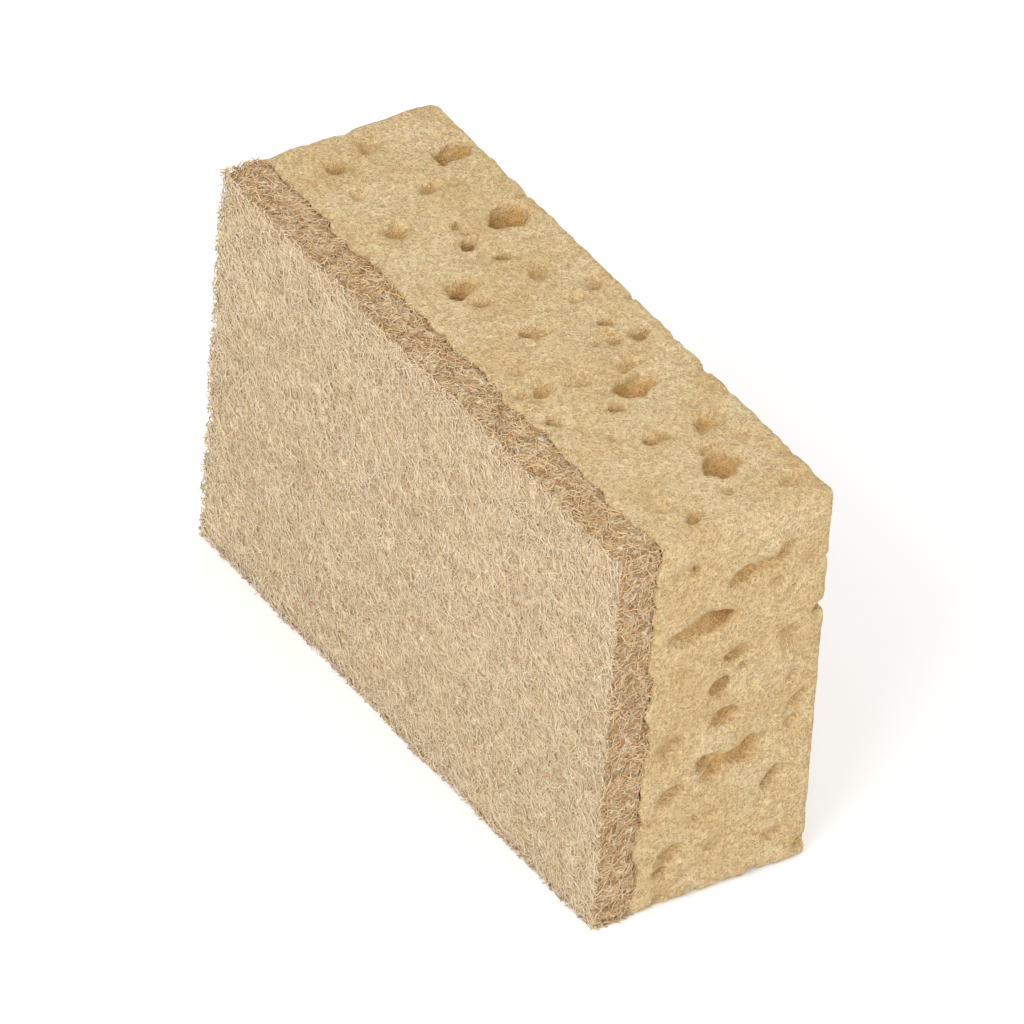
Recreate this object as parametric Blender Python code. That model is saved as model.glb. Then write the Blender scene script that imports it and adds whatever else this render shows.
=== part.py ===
"""A dish sponge: a block of coarse-pored foam with a fibre scouring pad glued to one broad face.

It stands on one long narrow side. The pad faces -X, the foam's broad face faces +X, the length
runs along Y and Z is up. The origin is the middle of the footprint. Sizes are in metres.
"""

import math
import random

import bmesh
import bpy
from mathutils import Matrix, Vector, noise

LENGTH = 0.112
HEIGHT = 0.070
FOAM_THICKNESS = 0.0315
PAD_THICKNESS = 0.0072
GLUE_GAP = 0.0003

FOAM_EDGE_RADIUS = 0.0012
PAD_EDGE_RADIUS = 0.0011
EDGE_STEPS = 2
SHARP_ANGLE = math.radians(50)

THICKNESS = PAD_THICKNESS + GLUE_GAP + FOAM_THICKNESS
PAD_FACE_X = -THICKNESS / 2
FOAM_BACK_X = PAD_FACE_X + PAD_THICKNESS + GLUE_GAP
FOAM_FACE_X = FOAM_BACK_X + FOAM_THICKNESS

# The pores are bubbles drawn out along the direction in which the foam rose.
RISE_LEAN = math.radians(16)
LEAN_SPREAD = math.radians(9)
PORE_LUMPINESS = 0.22
LUMPS_IN_A_PORE = 2.6
LUMP_CHANGE = 10
PORE_WALL = 0.0009
PORE_BITE = 0.0007
SPINE_POINTS = (-1, -0.5, 0, 0.5, 1)

# Segments and rings of the balls that cut the long pores and the short ones.
LONG_PORE = 0.0060
LONG_PORE_BALL = (10, 7)
SHORT_PORE_BALL = (8, 5)

# Pores cut open by the front end and by the top: share of the foam's thickness from the pad, share
# of the face's other side from its near top edge, length and width of the bubble, and how far its
# middle lies under the face, as a share of its half width.
FRONT_PORES = (
    (0.57, 0.15, 0.0104, 0.0030, 0.15),
    (0.28, 0.26, 0.0142, 0.0042, 0.10),
    (0.79, 0.38, 0.0032, 0.0022, 0.10),
    (0.20, 0.37, 0.0034, 0.0024, 0.05),
    (0.50, 0.36, 0.0058, 0.0026, 0.20),
    (0.43, 0.44, 0.0042, 0.0034, 0.35),
    (0.83, 0.48, 0.0036, 0.0022, 0.00),
    (0.46, 0.525, 0.0056, 0.0034, 0.30),
    (0.15, 0.56, 0.0052, 0.0042, -0.20),
    (0.53, 0.65, 0.0144, 0.0034, 0.25),
    (0.35, 0.73, 0.0030, 0.0022, 0.00),
    (0.75, 0.75, 0.0034, 0.0030, -0.10),
    (0.20, 0.86, 0.0060, 0.0032, -0.10),
    (0.46, 0.875, 0.0046, 0.0026, 0.00),
    (0.80, 0.90, 0.0050, 0.0026, 0.05),
    (0.86, 0.60, 0.0040, 0.0026, 0.10),
    (0.16, 0.09, 0.0036, 0.0022, 0.00),
)
TOP_PORES = (
    (0.62, 0.124, 0.0074, 0.0052, 0.45),
    (0.30, 0.052, 0.0042, 0.0024, 0.10),
    (0.78, 0.215, 0.0070, 0.0036, 0.05),
    (0.30, 0.245, 0.0032, 0.0022, 0.20),
    (0.62, 0.325, 0.0092, 0.0052, 0.10),
    (0.20, 0.375, 0.0044, 0.0030, 0.20),
    (0.85, 0.42, 0.0040, 0.0030, 0.30),
    (0.42, 0.49, 0.0060, 0.0034, 0.25),
    (0.28, 0.62, 0.0066, 0.0042, 0.35),
    (0.70, 0.60, 0.0046, 0.0030, 0.10),
    (0.79, 0.725, 0.0086, 0.0054, 0.40),
    (0.26, 0.77, 0.0052, 0.0030, 0.15),
    (0.58, 0.83, 0.0042, 0.0028, 0.20),
    (0.84, 0.885, 0.0076, 0.0042, 0.40),
    (0.30, 0.93, 0.0054, 0.0032, 0.15),
    (0.52, 0.955, 0.0036, 0.0024, 0.20),
    (0.86, 0.05, 0.0044, 0.0028, 0.20),
    (0.52, 0.215, 0.0034, 0.0026, 0.20),
    (0.50, 0.70, 0.0038, 0.0028, 0.30),
    (0.88, 0.545, 0.0040, 0.0030, 0.20),
)

# The other faces are left to chance: pores for each square centimetre, narrowest and widest pore,
# least and most stretch of a pore, and how far its middle lies under the face. Those pores stay off
# the placed faces, whose pattern they would spoil.
PLACED_FACES = ("front", "top", "glued")
RANDOM_SEED = 41
NARROW_FACE_DENSITY = 0.50
NARROW_FACE_WIDTHS = (0.0022, 0.0052)
NARROW_FACE_STRETCH = (1.3, 3.2)
BROAD_FACE_DENSITY = 0.66
BROAD_FACE_WIDTHS = (0.0028, 0.0072)
BROAD_FACE_STRETCH = (1.2, 2.1)
PORE_SINK = (-0.15, 0.45)
PLACING_TRIES = 60
SQUARE_CENTIMETRE = 1e-4

FOAM_COLOUR = (0.72, 0.53, 0.27, 1)
FOAM_ROUGHNESS = 0.95
PAD_COLOUR = (0.62, 0.45, 0.29, 1)
PAD_ROUGHNESS = 0.9


class Face:
    """A flat side of the foam block, with its corner, its two directions and its outward normal."""

    def __init__(self, corner, across, down, normal):
        self.corner = Vector(corner)
        self.across = Vector(across)
        self.down = Vector(down)
        self.normal = Vector(normal)

    def place(self, across_share, down_share, depth):
        on_face = self.corner + self.across * across_share + self.down * down_share
        return on_face - self.normal * depth

    def area(self):
        return self.across.length * self.down.length


class Pore:
    """A bubble in the foam: a stretched ball whose long axis leans with the rise of the foam."""

    def __init__(self, centre, axis, length, width, key):
        self.centre = centre
        self.axis = axis
        self.length = length
        self.width = width
        self.key = key

    def reach(self, normal):
        """Half the pore's extent along a direction."""
        along = self.axis.dot(normal)
        across = math.sqrt(max(0, 1 - along * along))
        return math.hypot(along * self.length / 2, across * self.width / 2)

    def spine(self):
        """Points along the core, each as far from the pore's wall as half its width."""
        half = (self.length - self.width) / 2
        return [self.centre + self.axis * half * point for point in SPINE_POINTS]

    def clear_of(self, other):
        room = (self.width + other.width) / 2 + PORE_WALL
        return all((a - b).length > room for a in self.spine() for b in other.spine())


def foam_faces():
    """The six sides of the foam block. The one named glued lies against the pad."""
    thick = Vector((FOAM_THICKNESS, 0, 0))
    long = Vector((0, LENGTH, 0))
    tall = Vector((0, 0, HEIGHT))
    near_top = Vector((FOAM_BACK_X, -LENGTH / 2, HEIGHT))
    return {
        "front": Face(near_top, thick, -tall, (0, -1, 0)),
        "top": Face(near_top, thick, long, (0, 0, 1)),
        "back": Face(near_top + long, thick, -tall, (0, 1, 0)),
        "bottom": Face(near_top - tall, thick, long, (0, 0, -1)),
        "broad": Face(near_top + thick, long, -tall, (1, 0, 0)),
        "glued": Face(near_top, long, -tall, (-1, 0, 0)),
    }


def leaning_axis(chance):
    """The direction of rise, a little different for each pore."""
    lean = RISE_LEAN + chance.uniform(-LEAN_SPREAD, LEAN_SPREAD)
    turn = chance.uniform(-LEAN_SPREAD, LEAN_SPREAD)
    flat = math.cos(lean)
    return Vector((flat * math.cos(turn), flat * math.sin(turn), math.sin(lean)))


def opens_cleanly(pore, faces, closed_to):
    """True if the pore breaks well through each face that it comes near, and leaves no thin skin.

    It stays wholly behind the faces named in closed_to.
    """
    for name, face in faces.items():
        depth = (face.corner - pore.centre).dot(face.normal)
        bite = pore.reach(face.normal) - depth
        least_bite = math.inf if name in closed_to else PORE_BITE
        if -PORE_WALL < bite < least_bite:
            return False
    return True


def random_pore_size(chance, widths, stretch):
    """Length and width of a bubble. Narrow ones are the most common."""
    width = chance.triangular(*widths, widths[0])
    return width * chance.uniform(*stretch), width


def place_pores():
    """Every bubble that the saw opened: first the placed ones, then those left to chance."""
    chance = random.Random(RANDOM_SEED)
    faces = foam_faces()
    pores = []

    def add_if_clear(face, across, down, length, width, depth, closed_to=("glued",)):
        centre = face.place(across, down, depth)
        pore = Pore(centre, leaning_axis(chance), length, width, len(pores))
        clear = opens_cleanly(pore, faces, closed_to) and all(map(pore.clear_of, pores))
        if clear:
            pores.append(pore)
        return clear

    for name, placed in (("front", FRONT_PORES), ("top", TOP_PORES)):
        for across, down, length, width, sink in placed:
            add_if_clear(faces[name], across, down, length, width, sink * width / 2)

    scattered = (
        ("back", NARROW_FACE_DENSITY, NARROW_FACE_WIDTHS, NARROW_FACE_STRETCH),
        ("bottom", NARROW_FACE_DENSITY, NARROW_FACE_WIDTHS, NARROW_FACE_STRETCH),
        ("broad", BROAD_FACE_DENSITY, BROAD_FACE_WIDTHS, BROAD_FACE_STRETCH),
    )
    for name, density, widths, stretch in scattered:
        face = faces[name]
        for _ in range(round(face.area() / SQUARE_CENTIMETRE * density)):
            for _ in range(PLACING_TRIES):
                length, width = random_pore_size(chance, widths, stretch)
                half_depth = length / 2 if name == "broad" else width / 2
                depth = half_depth * chance.uniform(*PORE_SINK)
                place = (chance.random(), chance.random())
                if add_if_clear(face, *place, length, width, depth, PLACED_FACES):
                    break
    return pores


def add_pore(bm, pore):
    """Adds the pore's lumpy ball to the mesh that cuts the foam."""
    segments, rings = LONG_PORE_BALL if pore.length > LONG_PORE else SHORT_PORE_BALL
    ball = bmesh.ops.create_uvsphere(bm, u_segments=segments, v_segments=rings, radius=0.5)
    turn = Vector((0, 0, 1)).rotation_difference(pore.axis).to_matrix().to_4x4()
    stretch = Matrix.Diagonal((pore.width, pore.width, pore.length, 1))
    for vert in ball["verts"]:
        lump = noise.noise(vert.co * LUMPS_IN_A_PORE + Vector((0, 0, LUMP_CHANGE * pore.key)))
        vert.co *= 1 + PORE_LUMPINESS * lump
        vert.co = Matrix.Translation(pore.centre) @ turn @ stretch @ vert.co


def plain_material(name, colour, roughness):
    material = bpy.data.materials.new(name)
    material.use_nodes = True
    shader = material.node_tree.nodes["Principled BSDF"]
    shader.inputs["Base Color"].default_value = colour
    shader.inputs["Roughness"].default_value = roughness
    shader.inputs["Metallic"].default_value = 0
    return material


def new_object(name, bm):
    mesh = bpy.data.meshes.new(name)
    bm.to_mesh(mesh)
    bm.free()
    obj = bpy.data.objects.new(name, mesh)
    bpy.context.scene.collection.objects.link(obj)
    return obj


def slab(name, low_x, high_x, edge_radius, glued_x):
    """A block from low_x to high_x, its edges rounded except round the glued face at glued_x."""
    size = Vector((high_x - low_x, LENGTH, HEIGHT))
    middle = Vector(((low_x + high_x) / 2, 0, HEIGHT / 2))
    bm = bmesh.new()
    bmesh.ops.create_cube(bm, size=1)
    place = Matrix.Translation(middle) @ Matrix.Diagonal((*size, 1))
    bmesh.ops.transform(bm, matrix=place, verts=bm.verts)
    glued = [v for v in bm.verts if math.isclose(v.co.x, glued_x, abs_tol=edge_radius / 2)]
    rounded = [e for e in bm.edges if not (e.verts[0] in glued and e.verts[1] in glued)]
    bmesh.ops.bevel(
        bm, geom=rounded, offset=edge_radius, segments=EDGE_STEPS, profile=0.5, affect="EDGES"
    )
    return new_object(name, bm)


def shade_round_parts_smooth(mesh):
    mesh.shade_smooth()
    mesh.set_sharp_from_angle(angle=SHARP_ANGLE)


def make_foam():
    """The foam block, with the bubbles cut out of it."""
    foam = slab("foam_block", FOAM_BACK_X, FOAM_FACE_X, FOAM_EDGE_RADIUS, FOAM_BACK_X)
    bm = bmesh.new()
    for pore in place_pores():
        add_pore(bm, pore)
    bubbles = new_object("pore_bubbles", bm)
    cut = foam.modifiers.new("open pores", "BOOLEAN")
    cut.operation = "DIFFERENCE"
    cut.solver = "EXACT"
    cut.object = bubbles
    depsgraph = bpy.context.evaluated_depsgraph_get()
    foam.data = bpy.data.meshes.new_from_object(foam.evaluated_get(depsgraph))
    foam.data.name = "foam_block"
    foam.modifiers.remove(cut)
    bpy.data.objects.remove(bubbles)
    shade_round_parts_smooth(foam.data)
    foam.data.materials.append(plain_material("foam", FOAM_COLOUR, FOAM_ROUGHNESS))
    return foam


def make_pad():
    """The fibre pad, a plain slab whose outer edges have worn round."""
    glued_x = PAD_FACE_X + PAD_THICKNESS
    pad = slab("scouring_pad", PAD_FACE_X, glued_x, PAD_EDGE_RADIUS, glued_x)
    shade_round_parts_smooth(pad.data)
    pad.data.materials.append(plain_material("scouring fibre", PAD_COLOUR, PAD_ROUGHNESS))
    return pad


def main():
    for old in list(bpy.data.objects):
        bpy.data.objects.remove(old)
    sponge = bpy.data.objects.new("dish_sponge", None)
    bpy.context.scene.collection.objects.link(sponge)
    for piece in (make_foam(), make_pad()):
        piece.parent = sponge


main()
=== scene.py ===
"""A dish sponge as it looks: crumbly foam with open pores, and a pad of crimped fibres."""

import math

import bmesh
import bpy
import numpy as np
from mathutils import Matrix, Vector


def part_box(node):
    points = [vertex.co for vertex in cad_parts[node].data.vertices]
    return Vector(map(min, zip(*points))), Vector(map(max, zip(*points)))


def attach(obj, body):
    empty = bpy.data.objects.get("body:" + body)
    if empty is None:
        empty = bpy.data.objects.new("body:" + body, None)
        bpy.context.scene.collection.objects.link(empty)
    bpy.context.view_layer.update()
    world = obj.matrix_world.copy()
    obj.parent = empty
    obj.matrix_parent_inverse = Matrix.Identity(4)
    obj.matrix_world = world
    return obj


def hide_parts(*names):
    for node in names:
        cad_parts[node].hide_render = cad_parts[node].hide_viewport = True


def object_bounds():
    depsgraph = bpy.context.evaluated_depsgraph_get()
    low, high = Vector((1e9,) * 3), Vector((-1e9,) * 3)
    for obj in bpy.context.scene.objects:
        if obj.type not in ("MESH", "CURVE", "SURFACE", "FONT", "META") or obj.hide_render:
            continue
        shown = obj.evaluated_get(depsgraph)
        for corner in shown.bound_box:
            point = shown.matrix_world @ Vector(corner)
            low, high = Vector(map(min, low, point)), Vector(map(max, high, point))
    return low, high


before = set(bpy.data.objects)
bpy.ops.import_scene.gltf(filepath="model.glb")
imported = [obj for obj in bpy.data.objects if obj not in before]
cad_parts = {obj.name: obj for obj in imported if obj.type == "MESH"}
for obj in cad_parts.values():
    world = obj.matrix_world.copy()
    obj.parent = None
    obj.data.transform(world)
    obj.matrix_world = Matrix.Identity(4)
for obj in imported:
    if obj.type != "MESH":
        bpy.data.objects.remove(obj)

CAD_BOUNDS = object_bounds()

FOAM_LOW, FOAM_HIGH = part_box("foam_block")
PAD_LOW, PAD_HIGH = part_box("scouring_pad")
MIDDLE = (CAD_BOUNDS[0] + CAD_BOUNDS[1]) / 2

# Lengths are in metres, except where a name ends in MM.
MILLIMETRE = 0.001
SQUARE_CENTIMETRE = 1e-4

# The view: where the camera stands round the sponge, and how large the sponge shows.
VIEW_AZIMUTH = math.radians(-35.31)
VIEW_ELEVATION = math.radians(37.33)
VIEW_ROLL = math.radians(4.22)
VIEW_DISTANCE = 3.083
VIEW_REACH = 100
IMAGE_SIDE = 1024
PIXELS_PER_METRE = 6580
SENSOR_MM = 36

# Studio. A lamp's row: name, azimuth and elevation in degrees, distance, width and watts.
LAMPS = (
    ("key", -70, 35, 1.2, 0.8, 9),
    ("front", -5, 30, 1.2, 0.8, 4.5),
    ("fill", 115, 40, 1.4, 1.0, 3.0),
)
WORLD_STRENGTH = 0.75
FLOOR_SIDE = 6.0
FLOOR_GREY = 0.86
FLOOR_LIFT = 0.16

# Small bubbles in the foam. Lean is in shares of RISE_LEAN, sink in shares of a bubble's width.
RISE_LEAN = math.radians(16)
SMALL_PORES_PER_CM2 = 4.5
SMALL_PORE_WIDTHS = (0.0009, 0.0026)
SMALL_PORE_CROWDING = 2.0
SMALL_PORE_STRETCH = (1.2, 2.4)
SMALL_PORE_LEAN = (-1.8, -0.2)
SMALL_PORE_TURN = 0.3
SMALL_PORE_SINK = (-0.35, 0.15)
SMALL_PORE_SEAM_MARGIN = 0.0030
SMALL_PORE_SEED = 5

# The foam's surface: how it crumbles, and over what depth below its faces a pore's painted shade
# grows.
FOAM_VOXEL = 0.00061
FOAM_SURFACE = {
    "Lump size": 0.0060,
    "Lump height": 0.00006,
    "Crumb size": 0.0011,
    "Crumb height": 0.00010,
    "Pit size": 0.0017,
    "Pit depth": 0.00008,
}
PORE_SHADE_FROM = 0.0003
PORE_SHADE_TO = 0.0024
PORE_HALO_STEPS = 14

# The pores' outlines: the foam's points shift along its faces by these waves, each a wave length
# and a reach, and the shift fades out towards the faces that it would move.
OUTLINE_WAVES = ((0.0064, 0.00026), (0.0041, 0.00020), (0.0027, 0.00013))
OUTLINE_FADE = 0.0016
OUTLINE_SEED = 12

# Ripples over Y and Z, each a share, a turn per metre along Y, one along Z, and a start.
SEAM_WAVES = (
    (1.0, 410, 150, 0.4),
    (1.0, -260, 520, 2.1),
    (0.7, 1150, 700, 4.0),
    (0.7, -900, 1400, 1.2),
    (0.4, 2300, -1700, 3.3),
)
FACE_WAVES = ((1.0, 330, 90, 0.7), (1.0, -140, 300, 2.9), (0.6, 210, -380, 5.1))

# The glued line: how far it wanders, how far off things follow it, and how the pad closes on it.
SEAM_WANDER = 0.0006
SEAM_REACH = 0.0035
SEAM_GAP = 0.00004
SEAM_DRAW = 0.0015
SEAM_CROSSING = 0.0009
SEAM_BAND = 0.0012

# The felt under the loose fibres, and how deep its broad face sinks in soft hollows.
FACE_HOLLOW = 0.0005
FELT_VOXEL = 0.0010
FELT_INSET = 0.0002
FELT_SURFACE = {
    "Lump size": 0.0040,
    "Lump height": 0.0002,
    "Crumb size": 0.0014,
    "Crumb height": 0.0003,
    "Pit size": 0.0016,
    "Pit depth": 0.0004,
}
RIM_FADE = 0.0012

# Fibres. They are cut off where they stand further than this out of the pad's outline.
FIBRE_PROUD = 0.0003
FIBRE_PROUD_LOOSE = 0.0013
FIBRE_PROUD_BELOW = 0.0001
FIBRE_SHORTEST = 0.0008
FIBRE_STRETCH = (0.6, 1.4)
FIBRE_FLATTENING = 0.6
FIBRE_SECTION_POINTS = 3
FACE_FIBRES = {
    "Density": 70 / SQUARE_CENTIMETRE,
    "Length": 0.0029,
    "Points": 6,
    "Tilt": 0.12,
    "Crimp size": 0.0012,
    "Crimp": 0.0014,
    "Thickness": 0.000072,
    "Seed": 3,
}
MIDDLE_FIBRES = {**FACE_FIBRES, "Seed": 8}
OUTER_FIBRES = {**FACE_FIBRES, "Seed": 13, "Thickness": 0.000062, "Length": 0.0034}
RIM_FIBRES = {
    **FACE_FIBRES,
    "Density": 150 / SQUARE_CENTIMETRE,
    "Length": 0.0030,
    "Points": 7,
    "Crimp size": 0.0011,
    "Crimp": 0.0015,
    "Thickness": 0.000095,
    "Seed": 4,
}
SEAM_FIBRES = {
    **RIM_FIBRES,
    "Density": 260 / SQUARE_CENTIMETRE,
    "Length": 0.0024,
    "Seed": 5,
}
LOOSE_FIBRES = {
    **FACE_FIBRES,
    "Density": 12 / SQUARE_CENTIMETRE,
    "Length": 0.0034,
    "Tilt": 0.9,
    "Thickness": 0.00006,
    "Seed": 6,
}

# One seed for each value that is drawn by chance in a tree.
DRAWS = {
    "pore width": 11,
    "pore stretch": 12,
    "pore lean": 13,
    "pore turn": 14,
    "pore sink": 15,
    "fibre shade": 21,
    "fibre tilt": 22,
    "fibre heading": 23,
    "fibre length": 24,
}


def srgb(red, green, blue):
    """A colour read from a picture, as light."""
    def light(value):
        value /= 255
        return value / 12.92 if value <= 0.04045 else ((value + 0.055) / 1.055) ** 2.4
    return (light(red), light(green), light(blue), 1.0)


# Foam colours: two grounds, a stain that also paints shade in and around the pores, painted shade
# in the fine cells' hollows, and painted shade inside a pore.
FOAM_PALE = srgb(220, 199, 158)
FOAM_OCHRE = srgb(211, 185, 140)
FOAM_STAIN_AND_PORE_SHADE = srgb(200, 162, 104)
FOAM_CELL_SHADE = srgb(168, 124, 68)
FOAM_PORE_SHADE = srgb(200, 154, 87)

# The foam's patterns: sizes, and the most that each one tells.
FOAM_PATCH_MM = 9
FOAM_STAIN_MM = 5
FOAM_COARSE_MM = 6
SMALL_CELL_MM = 0.50
LARGE_CELL_MM = 0.95
STAIN_MOST = 0.18
HALO_SHADE_MOST = 0.35
COARSE_MOST = 0.36
HALO_COARSE_MOST = 0.8
LARGE_CELLS_TELL = 0.55
CELL_SHADE_TELL = 0.66
PORE_SHADE_TELL = 0.5
CELL_RELIEF = 0.7
CELL_RELIEF_DEPTH = 0.00032

# Felt colours: threads, matted ground, gaps, and gaps on the cut edges. The gaps' brown is partly
# the felt's own and partly painted shade of their depth.
FELT_THREAD = srgb(228, 209, 176)
FELT_GROUND = srgb(210, 185, 148)
FELT_GAP_BROWN_AND_SHADE = srgb(184, 150, 112)
FELT_EDGE_GAP_BROWN_AND_SHADE = srgb(163, 123, 77)

# The felt's patterns. A web of threads is a size and a seed.
FELT_CLUMP_MM = 1.4
FELT_WEBS = ((1.5, 1.0), (1.1, 4.0), (1.9, 9.0))
FELT_RIM_TELLS = 0.8
FELT_CLUMP_RELIEF = 0.6
FELT_RELIEF_DEPTH = 0.00035

# Fibre materials: the palest and the darkest strand. The deeper layers' darker strands are partly
# painted shade of depth and partly the pad's own browner fibres.
FIBRE_COLOURS = {
    "pale_fibre": (srgb(236, 219, 189), srgb(222, 201, 168)),
    "beige_fibre": (srgb(226, 206, 173), srgb(199, 171, 135)),
    "mixed_fibre": (srgb(230, 210, 177), srgb(188, 157, 119)),
    "rim_fibre": (srgb(223, 195, 152), srgb(169, 127, 81)),
}
FIBRE_PATCH_MM = 3
FIBRE_PATCHES_TELL = 0.9


# Node trees

def add(tree, kind, inputs=None, **settings):
    """Adds a node. An input is a number, a vector, or the socket that feeds it."""
    node = tree.nodes.new(kind)
    for name, value in settings.items():
        setattr(node, name, value)
    for key, value in (inputs or {}).items():
        if isinstance(value, bpy.types.NodeSocket):
            tree.links.new(value, node.inputs[key])
        else:
            node.inputs[key].default_value = value
    return node


def calculate(tree, operation, first, second=0.0, third=0.0):
    inputs = {0: first, 1: second, 2: third}
    return add(tree, "ShaderNodeMath", inputs, operation=operation).outputs[0]


def calculate_vector(tree, operation, first, second=None, scale=None):
    inputs = {0: first}
    if second is not None:
        inputs[1] = second
    if scale is not None:
        inputs["Scale"] = scale
    node = add(tree, "ShaderNodeVectorMath", inputs, operation=operation)
    return node.outputs["Value" if operation == "DOT_PRODUCT" else "Vector"]


def centred(tree, colour):
    """A noise's colour as a vector whose middle is 0."""
    return calculate_vector(tree, "SUBTRACT", colour, (0.5, 0.5, 0.5))


def spread(tree, value, low, high, to_low=0.0, to_high=1.0):
    """Maps low..high to to_low..to_high, and holds what is outside."""
    inputs = {
        "Value": value,
        "From Min": low,
        "From Max": high,
        "To Min": to_low,
        "To Max": to_high,
    }
    return add(tree, "ShaderNodeMapRange", inputs, clamp=True).outputs[0]


def random_between(tree, low, high, draw):
    inputs = {"Min": low, "Max": high, "Seed": DRAWS[draw]}
    return add(tree, "FunctionNodeRandomValue", inputs, data_type="FLOAT").outputs["Value"]


SOCKET_KINDS = {float: "NodeSocketFloat", int: "NodeSocketInt", tuple: "NodeSocketVector"}


def geometry_tree(name, sizes):
    """A Geometry Nodes tree with a named input for each size. Returns it with its group input."""
    tree = bpy.data.node_groups.new(name, "GeometryNodeTree")
    tree.interface.new_socket("Geometry", in_out="INPUT", socket_type="NodeSocketGeometry")
    for size, value in sizes.items():
        tree.interface.new_socket(size, in_out="INPUT", socket_type=SOCKET_KINDS[type(value)])
    tree.interface.new_socket("Material", in_out="INPUT", socket_type="NodeSocketMaterial")
    tree.interface.new_socket("Geometry", in_out="OUTPUT", socket_type="NodeSocketGeometry")
    return tree, tree.nodes.new("NodeGroupInput").outputs


def scatter(tree, given):
    """Points spread by chance over the given faces."""
    inputs = {"Mesh": given["Geometry"], "Density": given["Density"], "Seed": given["Seed"]}
    return add(tree, "GeometryNodeDistributePointsOnFaces", inputs).outputs


def delete(tree, geometry, selection, domain="POINT"):
    inputs = {"Geometry": geometry, "Selection": selection}
    return add(tree, "GeometryNodeDeleteGeometry", inputs, domain=domain).outputs[0]


def shift(tree, geometry, offset):
    inputs = {"Geometry": geometry, "Offset": offset}
    return add(tree, "GeometryNodeSetPosition", inputs).outputs[0]


def realize(tree, geometry):
    return add(tree, "GeometryNodeRealizeInstances", {"Geometry": geometry}).outputs[0]


def store(tree, geometry, name, value, kind):
    """Stores a value on points. Returns the geometry and the value as it is read back."""
    inputs = {"Geometry": geometry, "Name": name, "Value": value}
    kept = add(
        tree, "GeometryNodeStoreNamedAttribute", inputs, data_type=kind, domain="POINT"
    ).outputs[0]
    read = add(tree, "GeometryNodeInputNamedAttribute", {"Name": name}, data_type=kind)
    return kept, read.outputs["Attribute"]


def rotation(tree, tilt, turn):
    angles = add(tree, "ShaderNodeCombineXYZ", {0: 0.0, 1: tilt, 2: turn}).outputs[0]
    return add(tree, "FunctionNodeEulerToRotation", {"Euler": angles}).outputs[0]


def close_tree(tree, geometry, given):
    """Ends a tree as a plain mesh with its material."""
    inputs = {"Geometry": realize(tree, geometry), "Material": given["Material"]}
    painted = add(tree, "GeometryNodeSetMaterial", inputs)
    add(tree, "NodeGroupOutput", {"Geometry": painted.outputs[0]})


def use_tree(obj, tree, sizes, material):
    modifier = obj.modifiers.new(tree.name, "NODES")
    modifier.node_group = tree
    values = {**sizes, "Material": material}
    for item in tree.interface.items_tree:
        if item.in_out == "INPUT" and item.name in values:
            modifier[item.identifier] = values[item.name]


# Pieces and their points

def new_piece(name, mesh):
    piece = bpy.data.objects.new(name, mesh)
    bpy.context.scene.collection.objects.link(piece)
    return piece


def settle(source, name):
    """The source with its modifiers applied, as a new plain piece. The source goes."""
    depsgraph = bpy.context.evaluated_depsgraph_get()
    mesh = bpy.data.meshes.new_from_object(source.evaluated_get(depsgraph))
    mesh.name = name
    bpy.data.objects.remove(source)
    return new_piece(name, mesh)


def merged_copy(node, name):
    """A CAD node's mesh as a closed one, in a new object."""
    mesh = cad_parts[node].data.copy()
    bm = bmesh.new()
    bm.from_mesh(mesh)
    bmesh.ops.remove_doubles(bm, verts=bm.verts, dist=1e-6)
    bm.to_mesh(mesh)
    bm.free()
    mesh.materials.clear()
    return new_piece(name, mesh)


def voxel_remesh(piece, voxel):
    modifier = piece.modifiers.new("even faces", "REMESH")
    modifier.mode = "VOXEL"
    modifier.voxel_size = voxel
    modifier.use_smooth_shade = True


def places_of(mesh):
    places = np.empty(len(mesh.vertices) * 3, np.float32)
    mesh.vertices.foreach_get("co", places)
    return places.reshape(-1, 3)


def put_places(mesh, places):
    mesh.vertices.foreach_set("co", places.astype(np.float32).ravel())
    mesh.update()


def store_share(mesh, name, values):
    attribute = mesh.attributes.new(name, "FLOAT", "POINT")
    attribute.data.foreach_set("value", values.astype(np.float32))


# Materials

def surface_material(name, roughness, specular):
    """A Principled material. Returns it, its tree and its shader."""
    material = bpy.data.materials.new(name)
    material.use_nodes = True
    tree = material.node_tree
    shader = tree.nodes["Principled BSDF"]
    shader.inputs["Roughness"].default_value = roughness
    shader.inputs["Specular IOR Level"].default_value = specular
    return material, tree, shader


def place_in_mm(tree):
    """Object coordinates in millimetres."""
    where = add(tree, "ShaderNodeTexCoord").outputs["Object"]
    inputs = {"Vector": where, "Scale": (1 / MILLIMETRE,) * 3}
    return add(tree, "ShaderNodeMapping", inputs).outputs[0]


def noise(tree, where, size, detail=2.0, roughness=0.5):
    inputs = {"Vector": where, "Scale": 1 / size, "Detail": detail, "Roughness": roughness}
    return add(tree, "ShaderNodeTexNoise", inputs).outputs["Fac"]


def stored_share(tree, name):
    return add(tree, "ShaderNodeAttribute", attribute_name=name).outputs["Fac"]


def open_cells(tree, where, size, shallowest):
    """Bubbles cut through: 0 on the struts between them, up to 1 in their hollows."""
    wobble = {"Vector": where, "Scale": 1 / size, "Detail": 1.0}
    wobble = centred(tree, add(tree, "ShaderNodeTexNoise", wobble).outputs["Color"])
    wobble = calculate_vector(tree, "SCALE", wobble, scale=0.4 * size)
    inputs = {"Vector": calculate_vector(tree, "ADD", where, wobble), "Scale": 1 / size}
    edge = add(tree, "ShaderNodeTexVoronoi", inputs, feature="DISTANCE_TO_EDGE").outputs["Distance"]
    colour = add(tree, "ShaderNodeTexVoronoi", inputs, feature="F1").outputs["Color"]
    chance = add(tree, "ShaderNodeSeparateColor", {0: colour}).outputs[0]
    depth = spread(tree, chance, 0.0, 0.9, shallowest, 1)
    return calculate(tree, "MULTIPLY", spread(tree, edge, 0.03, 0.24), depth)


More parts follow.
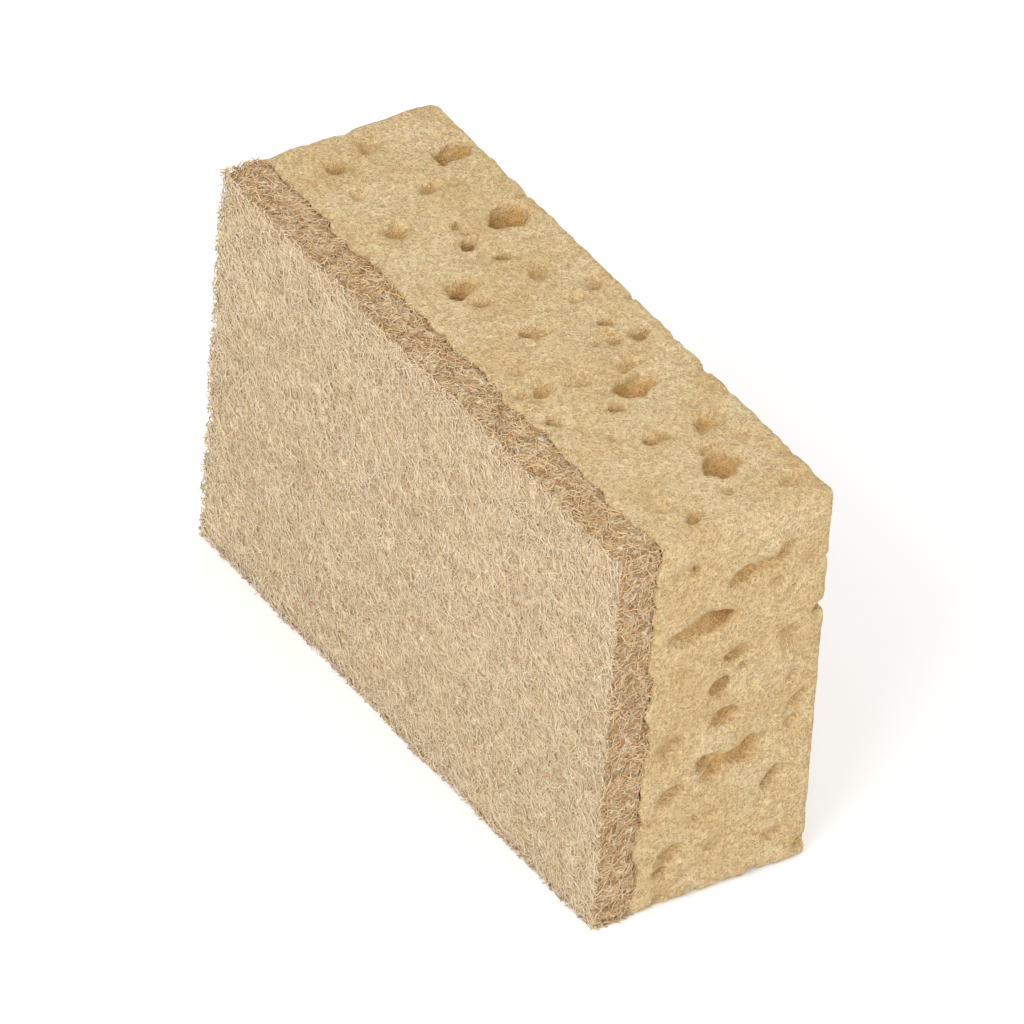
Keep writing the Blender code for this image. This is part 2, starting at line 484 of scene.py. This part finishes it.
def threads(tree, where, size, seed):
    """Thin winding lines: 1 along a thread, 0 between threads."""
    inputs = {"Vector": where, "W": seed, "Scale": 1 / size, "Detail": 1.0, "Roughness": 0.4}
    wave = add(tree, "ShaderNodeTexNoise", inputs, noise_dimensions="4D").outputs["Fac"]
    off = calculate(tree, "ABSOLUTE", calculate(tree, "SUBTRACT", wave, 0.5))
    return spread(tree, off, 0.0, 0.055, 1, 0)


def mix_colour(tree, factor, first, second):
    inputs = {"Factor": factor, 6: first, 7: second}
    return add(tree, "ShaderNodeMix", inputs, data_type="RGBA").outputs[2]


def bump(tree, height, depth):
    return add(tree, "ShaderNodeBump", {"Height": height, "Distance": depth}).outputs["Normal"]


def foam_material():
    """Open-celled foam: a fine grain of cells with painted shade in their hollows, uneven ochre,
    and pores painted warmer and darker as shade.
    """
    material, tree, shader = surface_material("open_cell_foam", 1.0, 0.05)
    where = place_in_mm(tree)
    patches = noise(tree, where, FOAM_PATCH_MM, detail=3)
    colour = mix_colour(tree, spread(tree, patches, 0.35, 0.65), FOAM_PALE, FOAM_OCHRE)

    halo = stored_share(tree, "halo")
    stains = noise(tree, where, FOAM_STAIN_MM, detail=3, roughness=0.6)
    stains = spread(tree, stains, 0.50, 0.70, 0, STAIN_MOST)
    # Painted shade: the stain colour darkens the pores and fades out round their rims.
    near_pores = spread(tree, halo, 0.03, 0.4, 0, HALO_SHADE_MOST)
    colour = mix_colour(tree, calculate(tree, "MAXIMUM", stains, near_pores), colour, FOAM_STAIN_AND_PORE_SHADE)

    small = open_cells(tree, where, SMALL_CELL_MM, 0.4)
    large = open_cells(tree, where, LARGE_CELL_MM, 0.2)
    coarse = noise(tree, where, FOAM_COARSE_MM, detail=2)
    coarse = spread(tree, coarse, 0.48, 0.62, 0, COARSE_MOST)
    near_pores = spread(tree, halo, 0.02, 0.2, 0, HALO_COARSE_MOST)
    coarse = calculate(tree, "MAXIMUM", coarse, near_pores)
    large = calculate(tree, "MULTIPLY", large, coarse)
    large = calculate(tree, "MULTIPLY", large, LARGE_CELLS_TELL)
    # Painted shade: the cells' hollows are coloured darker, on top of the bump's own shading.
    cell_shade = calculate(tree, "MAXIMUM", small, large)
    cell_shade = calculate(tree, "MULTIPLY", cell_shade, CELL_SHADE_TELL)
    colour = mix_colour(tree, cell_shade, colour, FOAM_CELL_SHADE)

    # Painted shade inside the pores, darker and warmed like light scattered in the foam.
    inside = calculate(tree, "MULTIPLY", stored_share(tree, "pore"), PORE_SHADE_TELL)
    colour = mix_colour(tree, inside, colour, FOAM_PORE_SHADE)
    tree.links.new(colour, shader.inputs["Base Color"])
    height = calculate(tree, "MULTIPLY", calculate(tree, "ADD", large, small), -CELL_RELIEF)
    tree.links.new(bump(tree, height, CELL_RELIEF_DEPTH), shader.inputs["Normal"])
    shader.inputs["Subsurface Weight"].default_value = 0.3
    shader.inputs["Subsurface Radius"].default_value = (1.0, 0.6, 0.25)
    shader.inputs["Subsurface Scale"].default_value = 0.0009
    return material


def felt_material():
    """The matted fibres inside the pad: pale threads over brown gaps, browner on the cut edges. The
    gaps' brown is partly painted shade.
    """
    material, tree, shader = surface_material("matted_fibre", 0.9, 0.15)
    where = place_in_mm(tree)
    clumps = noise(tree, where, FELT_CLUMP_MM, detail=3, roughness=0.6)
    # The darker gap colours are partly painted shade between the threads.
    ground = mix_colour(tree, spread(tree, clumps, 0.38, 0.62), FELT_GAP_BROWN_AND_SHADE, FELT_GROUND)
    rim = calculate(tree, "MULTIPLY", stored_share(tree, "rim"), FELT_RIM_TELLS)
    ground = mix_colour(tree, rim, ground, FELT_EDGE_GAP_BROWN_AND_SHADE)
    webs = [threads(tree, where, size, seed) for size, seed in FELT_WEBS]
    web = webs[0]
    for other in webs[1:]:
        web = calculate(tree, "MAXIMUM", web, other)
    tree.links.new(mix_colour(tree, web, ground, FELT_THREAD), shader.inputs["Base Color"])
    height = calculate(tree, "MULTIPLY_ADD", clumps, FELT_CLUMP_RELIEF, web)
    tree.links.new(bump(tree, height, FELT_RELIEF_DEPTH), shader.inputs["Normal"])
    return material


def fibre_material(name):
    """Crimped fibre. Each strand has its own shade, and some patches are browner."""
    material, tree, shader = surface_material(name, 0.75, 0.2)
    patches = noise(tree, place_in_mm(tree), FIBRE_PATCH_MM)
    shade = stored_share(tree, "shade")
    mixed = calculate(tree, "MULTIPLY_ADD", patches, FIBRE_PATCHES_TELL, shade)
    colour = mix_colour(tree, spread(tree, mixed, 0.8, 1.5), *FIBRE_COLOURS[name])
    tree.links.new(colour, shader.inputs["Base Color"])
    return material


# Foam

def small_pores(sizes):
    """Tree: small bubbles, stretched along the rise of the foam, cut the faces that they touch."""
    tree, given = geometry_tree("small_pores", sizes)
    spots = scatter(tree, given)
    across = add(tree, "GeometryNodeInputPosition").outputs[0]
    across = add(tree, "ShaderNodeSeparateXYZ", {0: across}).outputs[0]
    near_seam = calculate(tree, "LESS_THAN", across, given["Least X"])
    points = delete(tree, spots["Points"], near_seam)

    chance = random_between(tree, 0.0, 1.0, "pore width")
    narrow = calculate(tree, "POWER", chance, SMALL_PORE_CROWDING)
    inputs = {"Value": narrow, "To Min": given["Narrowest"], "To Max": given["Widest"]}
    width = add(tree, "ShaderNodeMapRange", inputs).outputs[0]
    sink = random_between(tree, *SMALL_PORE_SINK, "pore sink")
    sink = calculate(tree, "MULTIPLY", width, sink)
    sunk = shift(tree, points, calculate_vector(tree, "SCALE", spots["Normal"], scale=sink))

    stretch = random_between(tree, given["Least stretch"], given["Most stretch"], "pore stretch")
    length = calculate(tree, "MULTIPLY", width, stretch)
    size = add(tree, "ShaderNodeCombineXYZ", {0: length, 1: width, 2: width}).outputs[0]
    lean = random_between(tree, *SMALL_PORE_LEAN, "pore lean")
    lean = calculate(tree, "MULTIPLY", given["Lean"], lean)
    turn = random_between(tree, -SMALL_PORE_TURN, SMALL_PORE_TURN, "pore turn")
    inputs = {"Radius": 0.5, "Subdivisions": 2}
    ball = add(tree, "GeometryNodeMeshIcoSphere", inputs).outputs["Mesh"]
    inputs = {
        "Points": sunk,
        "Instance": ball,
        "Rotation": rotation(tree, lean, turn),
        "Scale": size,
    }
    balls = realize(tree, add(tree, "GeometryNodeInstanceOnPoints", inputs).outputs[0])
    cut = add(
        tree,
        "GeometryNodeMeshBoolean",
        {"Mesh 1": given["Geometry"], "Mesh 2": balls},
        operation="DIFFERENCE",
        solver="MANIFOLD",
    )
    close_tree(tree, cut.outputs["Mesh"], given)
    return tree


def crumbled_surface(sizes):
    """Tree: soft lumps and sharper crumbs move the surface, and a round pit sinks in each cell."""
    tree, given = geometry_tree("crumbled_surface", sizes)
    where = add(tree, "GeometryNodeInputPosition").outputs[0]
    scale = calculate(tree, "DIVIDE", 1.0, given["Pit size"])
    cells = add(tree, "ShaderNodeTexVoronoi", {"Vector": where, "Scale": scale}).outputs["Distance"]
    sunk = calculate(tree, "MULTIPLY", spread(tree, cells, 0.0, 0.5, -1, 0), given["Pit depth"])
    outward = add(tree, "GeometryNodeInputNormal").outputs[0]
    offset = calculate_vector(tree, "SCALE", outward, scale=sunk)
    for part in ("Lump", "Crumb"):
        scale = calculate(tree, "DIVIDE", 1.0, given[part + " size"])
        inputs = {"Vector": where, "Scale": scale, "Detail": 1.0}
        wave = centred(tree, add(tree, "ShaderNodeTexNoise", inputs).outputs["Color"])
        height = calculate(tree, "MULTIPLY", given[part + " height"], 2.0)
        moved = calculate_vector(tree, "SCALE", wave, scale=height)
        offset = calculate_vector(tree, "ADD", offset, moved)
    close_tree(tree, shift(tree, given["Geometry"], offset), given)
    return tree


def ripples(waves, y, z):
    return sum(share * np.sin(along * y + up * z + start) for share, along, up, start in waves)


def bend_to_seam(mesh):
    """Moves what lies near the seam along X, so that foam and pad meet in one wandering line."""
    places = places_of(mesh)
    nearness = np.clip(1 - np.abs(places[:, 0] - FOAM_LOW.x) / SEAM_REACH, 0, 1)
    wander = SEAM_WANDER * ripples(SEAM_WAVES, places[:, 1], places[:, 2]) / 2
    places[:, 0] += wander * nearness
    put_places(mesh, places)


def hollow_face(mesh):
    """Sinks soft hollows into the pad's broad face. They fade out towards the seam."""
    places = places_of(mesh)
    waves = ripples(FACE_WAVES, places[:, 1], places[:, 2])
    most = sum(share for share, *_ in FACE_WAVES)
    nearness = np.clip((FOAM_LOW.x - places[:, 0]) / (FOAM_LOW.x - PAD_LOW.x), 0, 1)
    places[:, 0] += FACE_HOLLOW * (waves + most) / (2 * most) * nearness
    put_places(mesh, places)


def draw_to(values, side, inward):
    """Stops places at a side, and draws those that lie just inside it close to it."""
    off = np.maximum((values - side) * inward, 0)
    off = np.where(off < SEAM_DRAW, off * off / SEAM_DRAW, off)
    return side + off * inward


def pore_depth(places):
    """0 on the block's own faces, 1 deep in a pore."""
    below = np.minimum.reduce(
        [
            FOAM_HIGH.x - places[:, 0],
            places[:, 1] - FOAM_LOW.y,
            FOAM_HIGH.y - places[:, 1],
            places[:, 2] - FOAM_LOW.z,
            FOAM_HIGH.z - places[:, 2],
        ]
    )
    share = np.clip((below - PORE_SHADE_FROM) / (PORE_SHADE_TO - PORE_SHADE_FROM), 0, 1)
    return share * share * (3 - 2 * share)


def spread_along_surface(mesh, values, steps):
    """Smooths a value on the mesh's points, each step over the next points along its edges."""
    ends = np.empty(len(mesh.edges) * 2, np.int32)
    mesh.edges.foreach_get("vertices", ends)
    first, second = ends[0::2], ends[1::2]
    size = len(values)
    neighbours = np.bincount(first, minlength=size) + np.bincount(second, minlength=size)
    for _ in range(steps):
        total = np.bincount(first, values[second], size) + np.bincount(second, values[first], size)
        values = (values + total / neighbours) / 2
    return values


def roughen_outlines(places):
    """Shifts the foam's points along its faces, so that no pore keeps a smooth outline."""
    chance = np.random.default_rng(OUTLINE_SEED)
    start = places.copy()
    for axis in range(3):
        moved = np.zeros(len(places), np.float32)
        for length, reach in OUTLINE_WAVES:
            heading = chance.normal(size=3)
            heading *= 2 * math.pi / (length * np.linalg.norm(heading))
            moved += reach * np.sin(start @ heading + chance.uniform(0, 2 * math.pi))
        room = np.minimum(start[:, axis] - FOAM_LOW[axis], FOAM_HIGH[axis] - start[:, axis])
        places[:, axis] += moved * np.clip(room / OUTLINE_FADE, 0, 1)
    return places


def make_foam():
    material = foam_material()
    block = merged_copy("foam_block", "foam_source")
    pore_sizes = {
        "Density": SMALL_PORES_PER_CM2 / SQUARE_CENTIMETRE,
        "Narrowest": SMALL_PORE_WIDTHS[0],
        "Widest": SMALL_PORE_WIDTHS[1],
        "Least stretch": SMALL_PORE_STRETCH[0],
        "Most stretch": SMALL_PORE_STRETCH[1],
        "Lean": RISE_LEAN,
        "Least X": FOAM_LOW.x + SMALL_PORE_SEAM_MARGIN,
        "Seed": SMALL_PORE_SEED,
    }
    use_tree(block, small_pores(pore_sizes), pore_sizes, material)
    voxel_remesh(block, FOAM_VOXEL)
    use_tree(block, crumbled_surface(FOAM_SURFACE), FOAM_SURFACE, material)
    foam = settle(block, "foam")
    places = roughen_outlines(places_of(foam.data))
    places[:, 0] = draw_to(places[:, 0], FOAM_LOW.x, 1)
    places[:, 2] = np.maximum(places[:, 2], FOAM_LOW.z)
    put_places(foam.data, places)
    depth = pore_depth(places)
    store_share(foam.data, "pore", depth)
    store_share(foam.data, "halo", spread_along_surface(foam.data, depth, PORE_HALO_STEPS))
    bend_to_seam(foam.data)
    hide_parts("foam_block")
    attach(foam, "root")


# Pad

def rim_share(places):
    """0 on the pad's broad face, 1 on its narrow sides."""
    below = np.minimum.reduce(
        [
            places[:, 1] - PAD_LOW.y,
            PAD_HIGH.y - places[:, 1],
            places[:, 2] - PAD_LOW.z,
            PAD_HIGH.z - places[:, 2],
        ]
    )
    return np.clip(1 - (below - FELT_INSET) / RIM_FADE, 0, 1)


def make_felt():
    """The matted body of the pad, a little inside its outline, under the loose fibres."""
    felt = merged_copy("scouring_pad", "felt_source")
    centre = (PAD_LOW + PAD_HIGH) / 2
    places = places_of(felt.data)
    half = np.array((PAD_HIGH - PAD_LOW) / 2)
    places = np.array(centre) + (places - np.array(centre)) * (1 - FELT_INSET / half)
    seam_side = FOAM_LOW.x - SEAM_GAP
    places[:, 0] = np.where(places[:, 0] > centre.x, seam_side, places[:, 0])
    put_places(felt.data, places)
    voxel_remesh(felt, FELT_VOXEL)
    use_tree(felt, crumbled_surface(FELT_SURFACE), FELT_SURFACE, felt_material())
    felt = settle(felt, "pad_felt")
    places = places_of(felt.data)
    places[:, 0] = draw_to(places[:, 0], seam_side, -1)
    near = places[:, 0] > seam_side - SEAM_DRAW
    for axis in (1, 2):
        for side, inward in ((PAD_LOW[axis] + FELT_INSET, 1), (PAD_HIGH[axis] - FELT_INSET, -1)):
            places[near, axis] = draw_to(places[near, axis], side, inward)
    places[:, 2] = np.maximum(places[:, 2], PAD_LOW.z)
    put_places(felt.data, places)
    store_share(felt.data, "rim", rim_share(places))
    hollow_face(felt.data)
    bend_to_seam(felt.data)
    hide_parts("scouring_pad")
    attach(felt, "root")


def straight_strand(tree, given):
    """A line along X with its middle at 0, for each fibre to bend."""
    half = calculate(tree, "MULTIPLY", given["Length"], 0.5)
    start = calculate(tree, "MULTIPLY", half, -1.0)
    start = add(tree, "ShaderNodeCombineXYZ", {0: start}).outputs[0]
    end = add(tree, "ShaderNodeCombineXYZ", {0: half}).outputs[0]
    inputs = {"Start": start, "End": end}
    line = add(tree, "GeometryNodeCurvePrimitiveLine", inputs, mode="POINTS").outputs[0]
    inputs = {"Curve": line, "Count": given["Points"]}
    return add(tree, "GeometryNodeResampleCurve", inputs, mode="COUNT").outputs[0]


def crimp(tree, given, where, shade, outward):
    """How far each point of a strand swings aside. It swings less out of the face than along it."""
    inputs = {
        "Vector": where,
        "W": calculate(tree, "MULTIPLY", shade, 1000.0),
        "Scale": calculate(tree, "DIVIDE", 1.0, given["Crimp size"]),
        "Detail": 1.0,
    }
    wave = add(tree, "ShaderNodeTexNoise", inputs, noise_dimensions="4D").outputs["Color"]
    wave = centred(tree, wave)
    rise = calculate_vector(tree, "DOT_PRODUCT", wave, outward)
    flatten = calculate(tree, "MULTIPLY", rise, -FIBRE_FLATTENING)
    flatten = calculate_vector(tree, "SCALE", outward, scale=flatten)
    flat = calculate_vector(tree, "ADD", wave, flatten)
    swing = calculate(tree, "MULTIPLY", given["Crimp"], 2.0)
    return calculate_vector(tree, "SCALE", flat, scale=swing)


def past_corners(tree, given, where):
    """1 outside the box that the given corners make."""
    past_high = calculate_vector(tree, "SUBTRACT", where, given["High corner"])
    past_low = calculate_vector(tree, "SUBTRACT", given["Low corner"], where)
    past = calculate_vector(tree, "MAXIMUM", past_high, past_low)
    parts = add(tree, "ShaderNodeSeparateXYZ", {0: past}).outputs
    worst = calculate(tree, "MAXIMUM", calculate(tree, "MAXIMUM", parts[0], parts[1]), parts[2])
    return calculate(tree, "GREATER_THAN", worst, 0.0)


def fibre_web(sizes):
    """Tree: crimped fibres lie on the given faces in every direction, cut off at given corners."""
    tree, given = geometry_tree("fibre_web", sizes)
    spots = scatter(tree, given)
    shade = random_between(tree, 0.0, 1.0, "fibre shade")
    points, shade = store(tree, spots["Points"], "shade", shade, "FLOAT")
    points, outward = store(tree, points, "outward", spots["Normal"], "FLOAT_VECTOR")
    tilt = random_between(tree, -1.0, 1.0, "fibre tilt")
    tilt = calculate(tree, "MULTIPLY", given["Tilt"], tilt)
    heading = random_between(tree, 0.0, 2 * math.pi, "fibre heading")
    inputs = {"Rotation": spots["Rotation"], "Rotate By": rotation(tree, tilt, heading)}
    turn = add(tree, "FunctionNodeRotateRotation", inputs, rotation_space="LOCAL").outputs[0]
    stretch = random_between(tree, *FIBRE_STRETCH, "fibre length")
    strand = straight_strand(tree, given)
    inputs = {"Points": points, "Instance": strand, "Rotation": turn, "Scale": stretch}
    strands = realize(tree, add(tree, "GeometryNodeInstanceOnPoints", inputs).outputs[0])

    where = add(tree, "GeometryNodeInputPosition").outputs[0]
    strands = shift(tree, strands, crimp(tree, given, where, shade, outward))
    strands = delete(tree, strands, past_corners(tree, given, where))
    length = add(tree, "GeometryNodeSplineLength").outputs["Length"]
    short = calculate(tree, "LESS_THAN", length, FIBRE_SHORTEST)
    strands = delete(tree, strands, short, domain="CURVE")

    inputs = {"Resolution": FIBRE_SECTION_POINTS, "Radius": given["Thickness"]}
    section = add(tree, "GeometryNodeCurvePrimitiveCircle", inputs).outputs[0]
    inputs = {"Curve": strands, "Profile Curve": section, "Fill Caps": True}
    tubes = add(tree, "GeometryNodeCurveToMesh", inputs).outputs[0]
    tubes = add(tree, "GeometryNodeSetShadeSmooth", {"Geometry": tubes}).outputs[0]
    inputs = {"Geometry": tubes, "Name": "outward"}
    tubes = add(tree, "GeometryNodeRemoveAttribute", inputs).outputs[0]
    close_tree(tree, tubes, given)
    return tree


def pad_sides(names, sink, from_x=None):
    """The named sides of the pad's outline, moved in by sink, as one mesh for fibres to grow on."""
    low = PAD_LOW + Vector((sink, sink, sink))
    high = PAD_HIGH - Vector((0, sink, sink))
    if from_x is not None:
        low.x = from_x
    thick = Vector((high.x - low.x, 0, 0))
    long = Vector((0, high.y - low.y, 0))
    tall = Vector((0, 0, high.z - low.z))
    sides = {
        "face": (low, tall, long),
        "front": (low, thick, tall),
        "back": (low + long, tall, thick),
        "bottom": (low, long, thick),
        "top": (low + tall, thick, long),
    }
    bm = bmesh.new()
    for name in names:
        corner, across, up = sides[name]
        corners = (corner, corner + across, corner + across + up, corner + up)
        bm.faces.new([bm.verts.new(place) for place in corners])
    mesh = bpy.data.meshes.new("fibre_start")
    bm.to_mesh(mesh)
    bm.free()
    return mesh


def make_fibres(name, start_mesh, sizes, material, proud=FIBRE_PROUD):
    """One layer of fibres, standing proud of the pad's outline and crossing the glued edge."""
    sizes = {
        **sizes,
        "Low corner": tuple(PAD_LOW - Vector((proud, proud, FIBRE_PROUD_BELOW))),
        "High corner": tuple(PAD_HIGH + Vector((SEAM_CROSSING, proud, proud))),
    }
    start = new_piece(name + "_start", start_mesh)
    use_tree(start, fibre_web(sizes), sizes, material)
    fibres = settle(start, name)
    places = places_of(fibres.data)
    places[:, 2] = np.maximum(places[:, 2], PAD_LOW.z)
    put_places(fibres.data, places)
    hollow_face(fibres.data)
    bend_to_seam(fibres.data)
    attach(fibres, "root")


def make_pad():
    """The felt, and six layers of fibres that start 0.1 to 0.4 mm inside the pad's outline."""
    make_felt()
    paint = {name: fibre_material(name) for name in FIBRE_COLOURS}
    face = ("face",)
    rims = ("front", "back", "bottom", "top")
    under, middle, outer = (pad_sides(face, sink) for sink in (0.0003, 0.0002, 0.0001))
    # Painted shade in part: the deeper layers get darker strands than the outer one.
    make_fibres("pad_fibres_under", under, FACE_FIBRES, paint["beige_fibre"])
    make_fibres("pad_fibres_middle", middle, MIDDLE_FIBRES, paint["mixed_fibre"])
    make_fibres("pad_fibres_outer", outer, OUTER_FIBRES, paint["pale_fibre"])
    make_fibres("pad_fibres_rim", pad_sides(rims, 0.0002), RIM_FIBRES, paint["rim_fibre"])
    near_seam = pad_sides(rims, 0.0004, from_x=PAD_HIGH.x - SEAM_BAND)
    make_fibres("pad_fibres_seam", near_seam, SEAM_FIBRES, paint["rim_fibre"])
    make_fibres(
        "pad_fibres_loose",
        pad_sides(face + rims, 0.0002),
        LOOSE_FIBRES,
        paint["pale_fibre"],
        proud=FIBRE_PROUD_LOOSE,
    )


# Studio

def make_floor():
    """A pale floor. It looks a little paler to an eye than the light that it throws back."""
    material, tree, shader = surface_material("pale_floor", 1.0, 0.0)
    shader.inputs["Base Color"].default_value = (FLOOR_GREY, FLOOR_GREY, FLOOR_GREY, 1)
    path = add(tree, "ShaderNodeLightPath").outputs
    seen = calculate(tree, "MAXIMUM", path["Is Camera Ray"], path["Is Glossy Ray"])
    seen = calculate(tree, "MAXIMUM", seen, path["Is Transmission Ray"])
    lift = calculate(tree, "MULTIPLY", seen, FLOOR_LIFT)
    glow = add(tree, "ShaderNodeEmission", {"Color": (1, 1, 1, 1), "Strength": lift}).outputs[0]
    both = add(tree, "ShaderNodeAddShader", {0: shader.outputs[0], 1: glow}).outputs[0]
    tree.links.new(both, tree.nodes["Material Output"].inputs["Surface"])
    half = FLOOR_SIDE / 2
    corners = ((-half, -half, 0), (half, -half, 0), (half, half, 0), (-half, half, 0))
    mesh = bpy.data.meshes.new("floor")
    mesh.from_pydata(corners, [], [(0, 1, 2, 3)])
    mesh.materials.append(material)
    new_piece("floor", mesh)


def view_direction(azimuth, elevation):
    """From the sponge towards a viewer. Azimuth 0 stands on the -Y side, and turns towards +X."""
    flat = math.cos(elevation)
    return Vector((math.sin(azimuth) * flat, -math.cos(azimuth) * flat, math.sin(elevation)))


def make_lamp(name, azimuth, elevation, distance, width, watts):
    lamp = bpy.data.lights.new(name, "AREA")
    lamp.size = width
    lamp.energy = watts
    obj = new_piece(name, lamp)
    direction = view_direction(math.radians(azimuth), math.radians(elevation))
    obj.location = MIDDLE + direction * distance
    obj.rotation_euler = direction.to_track_quat("Z", "Y").to_euler()


def make_world():
    world = bpy.data.worlds.new("studio")
    world.use_nodes = True
    background = world.node_tree.nodes["Background"]
    background.inputs["Color"].default_value = (1, 1, 1, 1)
    background.inputs["Strength"].default_value = WORLD_STRENGTH
    bpy.context.scene.world = world


def make_camera():
    camera = bpy.data.cameras.new("camera")
    camera.sensor_width = SENSOR_MM
    camera.lens = SENSOR_MM * PIXELS_PER_METRE * VIEW_DISTANCE / IMAGE_SIDE
    camera.clip_end = VIEW_REACH
    obj = new_piece("camera", camera)
    direction = view_direction(VIEW_AZIMUTH, VIEW_ELEVATION)
    level = direction.to_track_quat("Z", "Y").to_matrix()
    obj.matrix_world = (
        Matrix.Translation(MIDDLE + direction * VIEW_DISTANCE)
        @ (level @ Matrix.Rotation(VIEW_ROLL, 3, "Z")).to_4x4()
    )
    bpy.context.scene.camera = obj


def main():
    bpy.context.scene.view_settings.view_transform = "Standard"
    make_foam()
    make_pad()
    make_floor()
    make_world()
    for lamp in LAMPS:
        make_lamp(*lamp)
    make_camera()


main()
